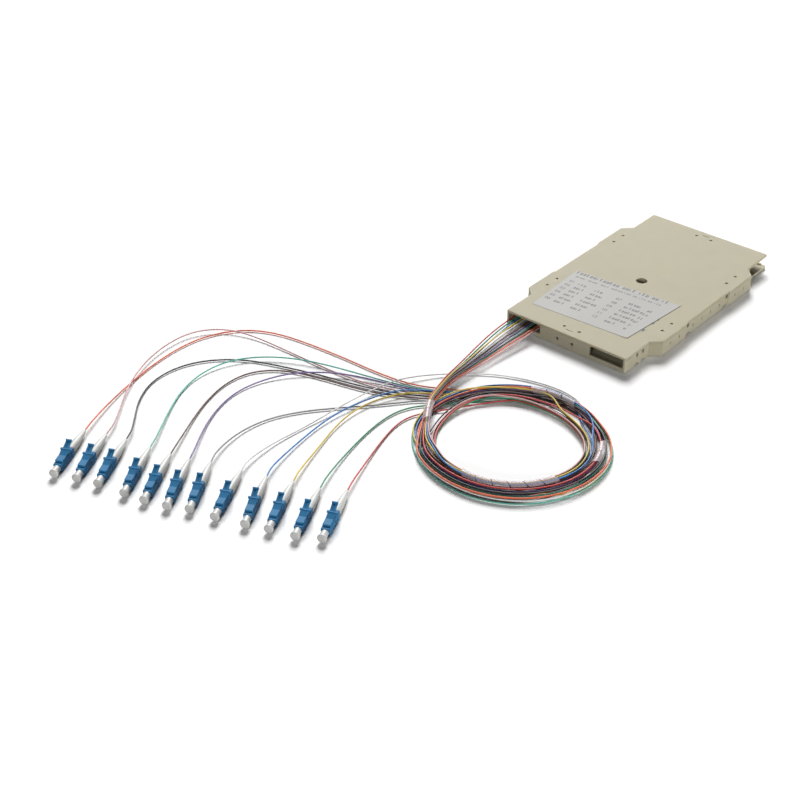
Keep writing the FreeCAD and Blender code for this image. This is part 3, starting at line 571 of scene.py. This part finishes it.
def fibre_route(number):
    """Control points of one fibre from the comb to the boot's tip, in millimetres."""
    share = (number - 1) / (fibre_count - 1)
    layer = layers - 1 - (number - 1) % layers
    route = [(first + share * (last - first), y, low + rise * layer)
             for y, first, last, low, rise in lead_stations]
    chosen = "upper" if number in upper_orders[0][1] else "lower"
    first_height, second_height = turn_heights[chosen]
    first_shift, second_shift = lane_shifts[chosen]
    sway = stray[chosen]

    def lane_at(angle):
        if chosen == "lower":
            return lane_in_set(lower_orders, number, angle, -cross_height)
        return lane_in_set(upper_orders, number, angle, cross_height)

    for angle, middle, spacing, lift in bundle_stations:
        lane, rise = lane_at(angle)
        radius = middle + (lane - last_lane / 2) * spacing
        route.append(on_coil(angle, radius, first_height + lift))
    for angle in range(*first_turn, point_angle):
        lane, rise = lane_at(angle)
        route.append(coil_point(angle, lane, first_height + rise, first_shift, sway))
    drop = first_height - second_height
    for angle, fallen in descent:
        lane, rise = lane_at(angle)
        shift = first_shift + fallen * (second_shift - first_shift)
        height = first_height + rise - fallen * drop
        route.append(coil_point(angle, lane, height, shift, descent_stray))
    for angle in range(second_turn_start, coil_ends[number] + 1, point_angle):
        lane, rise = lane_at(angle)
        route.append(coil_point(angle, lane, second_height, second_shift,
                                second_turn_stray * sway))
    tip_x, tip_y, heading = plug_places[number]
    turn = math.radians(heading)
    entry = (tip_x + boot_entry * math.cos(turn), tip_y + boot_entry * math.sin(turn),
             plug_height)
    return route + list(tail_routes[number]) + [entry, (tip_x, tip_y, plug_height)]


def make_fibre(number):
    """A round jacket along the fibre's route."""
    piece, spline = smooth_curve("fibre_%02d" % number, fibre_route(number), 4)
    piece.data.bevel_depth = fibre_radius
    piece.data.bevel_resolution = 3
    piece.data.use_fill_caps = True
    piece.data.materials.append(jacket_finish(number))
    return piece


for number in fibre_numbers:
    fibre = make_fibre(number)
    name = "%02d" % number
    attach(fibre, "cassette")
    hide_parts("pigtail_" + name, "fibre_coil")


# Clear spiral wraps

def round_the_coil(radius, start, end):
    """The line that a wrap follows through the middle of its fibres, from start to end angle."""
    steps = math.ceil(abs(end - start) / point_angle)
    return [on_coil(start + n * (end - start) / steps, radius, wrap_height)
            for n in range(steps + 1)]


def apply_modifiers(piece):
    """Apply a piece's modifiers in their order."""
    select_only(piece)
    for modifier in list(piece.modifiers):
        bpy.ops.object.modifier_apply(modifier=modifier.name)


def spiral_wrap(name, node, line):
    """A strip of clear film wound round the fibres, turn beside turn, then bent along them."""
    path, spline = smooth_curve("wrap_path", line, 12)
    length = spline.calc_length()
    turns = max(2, round(length / (wrap_pitch * mm)))
    pitch = length / turns
    width = pitch * wrap_cover
    deselect()
    bpy.ops.mesh.primitive_plane_add(size=width, location=(0.0, 0.0, 0.0),
                                     rotation=(math.radians(90), 0.0, 0.0))
    strip = bpy.context.object
    strip.name = name
    bpy.ops.object.transform_apply(location=False, rotation=True, scale=False)
    bpy.ops.object.mode_set(mode="EDIT")
    shape = bmesh.from_edit_mesh(strip.data)
    for corner in shape.verts:
        corner.select_set(corner.co.x > 0)
    shape.select_flush(True)
    bpy.ops.mesh.delete(type="VERT")
    bpy.ops.mesh.select_all(action="SELECT")
    bpy.ops.mesh.subdivide(number_cuts=3)
    bpy.ops.transform.translate(value=(wrap_radius * mm + width / 2, 0.0, width / 2))
    bpy.ops.object.mode_set(mode="OBJECT")
    winding = strip.modifiers.new("winding", "SCREW")
    winding.axis = "Z"
    winding.angle = math.tau
    winding.screw_offset = pitch
    winding.iterations = turns - 1
    winding.steps = wrap_steps
    winding.render_steps = wrap_steps
    film = strip.modifiers.new("film", "SOLIDIFY")
    film.thickness = wrap_thickness * mm
    film.offset = -1.0
    bend = strip.modifiers.new("bend", "CURVE")
    bend.object = path
    bend.deform_axis = "POS_Z"
    apply_modifiers(strip)
    bpy.data.objects.remove(path)
    bpy.ops.object.shade_smooth_by_angle(angle=math.radians(40))
    strip.data.materials.append(wrap_film)
    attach(strip, "cassette")
    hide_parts(node)


for side, (first, last, middle, start, end) in coil_wraps.items():
    spiral_wrap(side + "_spiral_wrap", "sleeve_" + side, round_the_coil(middle, end, start))
spiral_wrap("left_spiral_wrap", "sleeve_left", left_wrap_line)


# Label: the sheet and its generic print

def make_label_sheet():
    """The stuck-on sheet, a little askew, with its right edge beginning to lift."""
    deselect()
    bpy.ops.mesh.primitive_grid_add(x_subdivisions=24, y_subdivisions=18, size=1.0)
    sheet = bpy.context.object
    sheet.name = "label_sheet"
    low_left, low_right, top_right, top_left = (Vector(corner) for corner in label_corners)
    for point in sheet.data.vertices:
        across, along = point.co.x + 0.5, point.co.y + 0.5
        low = low_left.lerp(low_right, across)
        high = top_left.lerp(top_right, across)
        place = low.lerp(high, along)
        lift = label_lift * max(0.0, (across - lift_start) / (1.0 - lift_start)) ** 2
        point.co = Vector((place.x, place.y, lid_top + label_thickness + lift)) * mm
    film = sheet.modifiers.new("film", "SOLIDIFY")
    film.thickness = label_thickness * mm
    film.offset = -1.0
    apply_modifiers(sheet)
    sheet.data.materials.append(label_paper)
    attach(sheet, "lid")
    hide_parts("label")


def place_print(piece, x, y):
    """Lay a printed mark on the sheet, with its lower left corner at that place."""
    lift = lid_top + label_thickness + print_thickness
    piece.data.transform(Matrix.Translation(Vector((x, y, lift)) * mm)
                         @ Matrix.Rotation(math.radians(label_angle), 4, "Z"))


def along_the_line(x, y, reach):
    """The place this far along a line of print that starts at x, y."""
    turn = math.radians(label_angle)
    return x + reach * math.cos(turn), y + reach * math.sin(turn)


def make_mark(name, width, height):
    """A thin ink mark: a small ring, or a bar where it is too narrow to be open."""
    deselect()
    bpy.ops.mesh.primitive_plane_add(size=1.0, location=(0.0, 0.0, 0.0))
    mark = bpy.context.object
    mark.name = name
    mark.scale = (width * mm, height * mm, 1.0)
    bpy.ops.object.transform_apply(location=False, rotation=False, scale=True)
    bpy.ops.object.mode_set(mode="EDIT")
    bpy.ops.mesh.select_all(action="SELECT")
    bpy.ops.transform.translate(value=(width * mm / 2, height * mm / 2, 0.0))
    if width > 3 * pen_width:
        bpy.ops.mesh.inset(thickness=pen_width * mm)
        bpy.ops.mesh.delete(type="FACE")
    bpy.ops.mesh.select_all(action="SELECT")
    bpy.ops.mesh.extrude_region_move(
        TRANSFORM_OT_translate={"value": (0.0, 0.0, -print_thickness * mm)})
    bpy.ops.mesh.select_all(action="SELECT")
    bpy.ops.mesh.normals_make_consistent(inside=False)
    bpy.ops.object.mode_set(mode="OBJECT")
    return mark


def word_of_marks(patterns, x, y, count, pitch, height):
    """A word of open, tall and narrow marks in turn, which stands for a printed word."""
    made = []
    for n in range(count):
        pattern = patterns[mark_kinds[(n * kind_step + count) % len(mark_kinds)]]
        mark = pattern.copy()
        mark.data = pattern.data.copy()
        bpy.context.collection.objects.link(mark)
        mark.data.transform(Matrix.Diagonal((pitch * mark_share, height, 1.0, 1.0)))
        place_print(mark, *along_the_line(x, y, n * pitch))
        made.append(mark)
    return made


def number_print(text, x, y):
    """A printed row number, made a mesh before it is placed."""
    curve = bpy.data.curves.new("row_number", "FONT")
    curve.body = text
    curve.size = number_height * mm / digit_share
    curve.extrude = print_thickness * mm / 2
    curve.resolution_u = 3
    piece = bpy.data.objects.new("row_number", curve)
    bpy.context.collection.objects.link(piece)
    select_only(piece)
    bpy.ops.object.convert(target="MESH")
    piece = bpy.context.object
    piece.data.transform(Matrix.Translation((0.0, 0.0, -print_thickness * mm / 2)))
    place_print(piece, x, y)
    return piece


def make_label_print():
    """Two headings and twelve numbered rows of generic marks, joined into one piece."""
    patterns = {kind: make_mark(kind + "_mark", *size) for kind, size in mark_sizes.items()}
    marks = []
    for x, y, words, pitch, height in print_lines:
        reach = 0.0
        for count in words:
            marks += word_of_marks(patterns, *along_the_line(x, y, reach), count, pitch, height)
            reach += (count + word_gap) * pitch
    for row in range(row_count):
        for column, (number_x, first_y, *words_x) in enumerate(number_columns):
            y = first_y - row * row_pitch
            marks.append(number_print("%02d" % (row + 1 + row_count * column), number_x, y))
            for word_x, count in zip(words_x, word_lengths[column][row]):
                marks += word_of_marks(patterns, word_x, y, count, row_mark_pitch,
                                       row_mark_height)
    for pattern in patterns.values():
        bpy.data.objects.remove(pattern)
    deselect()
    for mark in marks:
        mark.select_set(True)
    bpy.context.view_layer.objects.active = marks[0]
    bpy.ops.object.join()
    ink = bpy.context.object
    ink.name = "label_print"
    ink.data.materials.clear()
    ink.data.materials.append(label_ink)
    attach(ink, "lid")
    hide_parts("label")


make_label_sheet()
make_label_print()


# Pieces that keep their CAD shape

for node, finish in (("cassette_tray", ivory), ("cassette_lid", ivory), ("ferrules", ceramic),
                     ("splice_comb", comb_rubber), ("splice_protectors", splice_film),
                     ("fibre_store", wound_glass)):
    show_in(node, finish)
for number in fibre_numbers:
    show_in("plug_housing_%02d" % number, blue_plastic)


# Floor, light and camera

def is_seen(tree):
    """One where the camera, a reflection or glass looks on, and nought for light rays."""
    path = tree.nodes.new("ShaderNodeLightPath")
    total = path.outputs[seen_rays[0]]
    for ray in seen_rays[1:]:
        larger = tree.nodes.new("ShaderNodeMath")
        larger.operation = "MAXIMUM"
        tree.links.new(total, larger.inputs[0])
        tree.links.new(path.outputs[ray], larger.inputs[1])
        total = larger.outputs[0]
    return total


def make_floor():
    """A pale floor that keeps the shadows and shows white around them."""
    deselect()
    bpy.ops.mesh.primitive_plane_add(size=floor_size, location=floor_place)
    floor = bpy.context.object
    floor.name = "studio_floor"
    finish = new_finish("studio floor", floor_white, 0.9, Specular_IOR_Level=0.0)
    nodes, links = finish.node_tree.nodes, finish.node_tree.links
    seen = is_seen(finish.node_tree)
    paper = nodes.new("ShaderNodeMix")
    paper.data_type = "RGBA"
    paper.inputs["A"].default_value = (*floor_shade, 1.0)
    paper.inputs["B"].default_value = (*floor_white, 1.0)
    links.new(seen, paper.inputs["Factor"])
    links.new(paper.outputs["Result"], nodes["Principled BSDF"].inputs["Base Color"])
    # Far from the part the paper runs out into plain white
    place = nodes.new("ShaderNodeTexCoord")
    reach = nodes.new("ShaderNodeVectorMath")
    reach.operation = "LENGTH"
    links.new(place.outputs["Object"], reach.inputs[0])
    far = nodes.new("ShaderNodeMapRange")
    far.interpolation_type = "SMOOTHSTEP"
    far.inputs["From Min"].default_value, far.inputs["From Max"].default_value = run_out
    links.new(reach.outputs["Value"], far.inputs["Value"])
    share = nodes.new("ShaderNodeMath")
    share.operation = "MULTIPLY"
    links.new(far.outputs["Result"], share.inputs[0])
    links.new(seen, share.inputs[1])
    white = nodes.new("ShaderNodeEmission")
    mix = nodes.new("ShaderNodeMixShader")
    links.new(share.outputs[0], mix.inputs["Fac"])
    links.new(nodes["Principled BSDF"].outputs["BSDF"], mix.inputs[1])
    links.new(white.outputs["Emission"], mix.inputs[2])
    links.new(mix.outputs["Shader"], nodes["Material Output"].inputs["Surface"])
    floor.data.materials.append(finish)


def make_lamp(name, way, distance, size, power):
    """A square lamp that shines on the middle of the cassette and the coil."""
    target = Vector(lamp_target)
    data = bpy.data.lights.new(name, "AREA")
    data.shape = "SQUARE"
    data.size = size
    data.energy = power
    lamp = bpy.data.objects.new(name, data)
    bpy.context.collection.objects.link(lamp)
    lamp.location = target + Vector(way).normalized() * distance
    lamp.rotation_euler = (target - lamp.location).to_track_quat("-Z", "Y").to_euler()


def make_world():
    """Almost no light of its own, and white wherever it is seen."""
    world = bpy.data.worlds.new("studio")
    world.use_nodes = True
    nodes, links = world.node_tree.nodes, world.node_tree.links
    back = nodes["Background"]
    back.inputs["Color"].default_value = (1.0, 1.0, 1.0, 1.0)
    back.inputs["Strength"].default_value = world_light
    seen = nodes.new("ShaderNodeBackground")
    seen.inputs["Color"].default_value = (1.0, 1.0, 1.0, 1.0)
    seen.inputs["Strength"].default_value = 1.0
    mix = nodes.new("ShaderNodeMixShader")
    links.new(is_seen(world.node_tree), mix.inputs["Fac"])
    links.new(back.outputs["Background"], mix.inputs[1])
    links.new(seen.outputs["Background"], mix.inputs[2])
    links.new(mix.outputs["Shader"], nodes["World Output"].inputs["Surface"])
    bpy.context.scene.world = world


def make_camera():
    """The camera at the place and angle worked out from the cassette's edges."""
    data = bpy.data.cameras.new("camera")
    data.sensor_width = camera_sensor
    data.lens = camera_lens
    camera = bpy.data.objects.new("camera", data)
    bpy.context.collection.objects.link(camera)
    camera.location = camera_place
    camera.rotation_euler = Vector(camera_way).to_track_quat("-Z", "Y").to_euler()
    bpy.context.scene.camera = camera


make_floor()
for name, (way, distance, size, power) in lamps.items():
    make_lamp(name, way, distance, size, power)
make_world()
make_camera()
bpy.context.scene.view_settings.view_transform = "Standard"
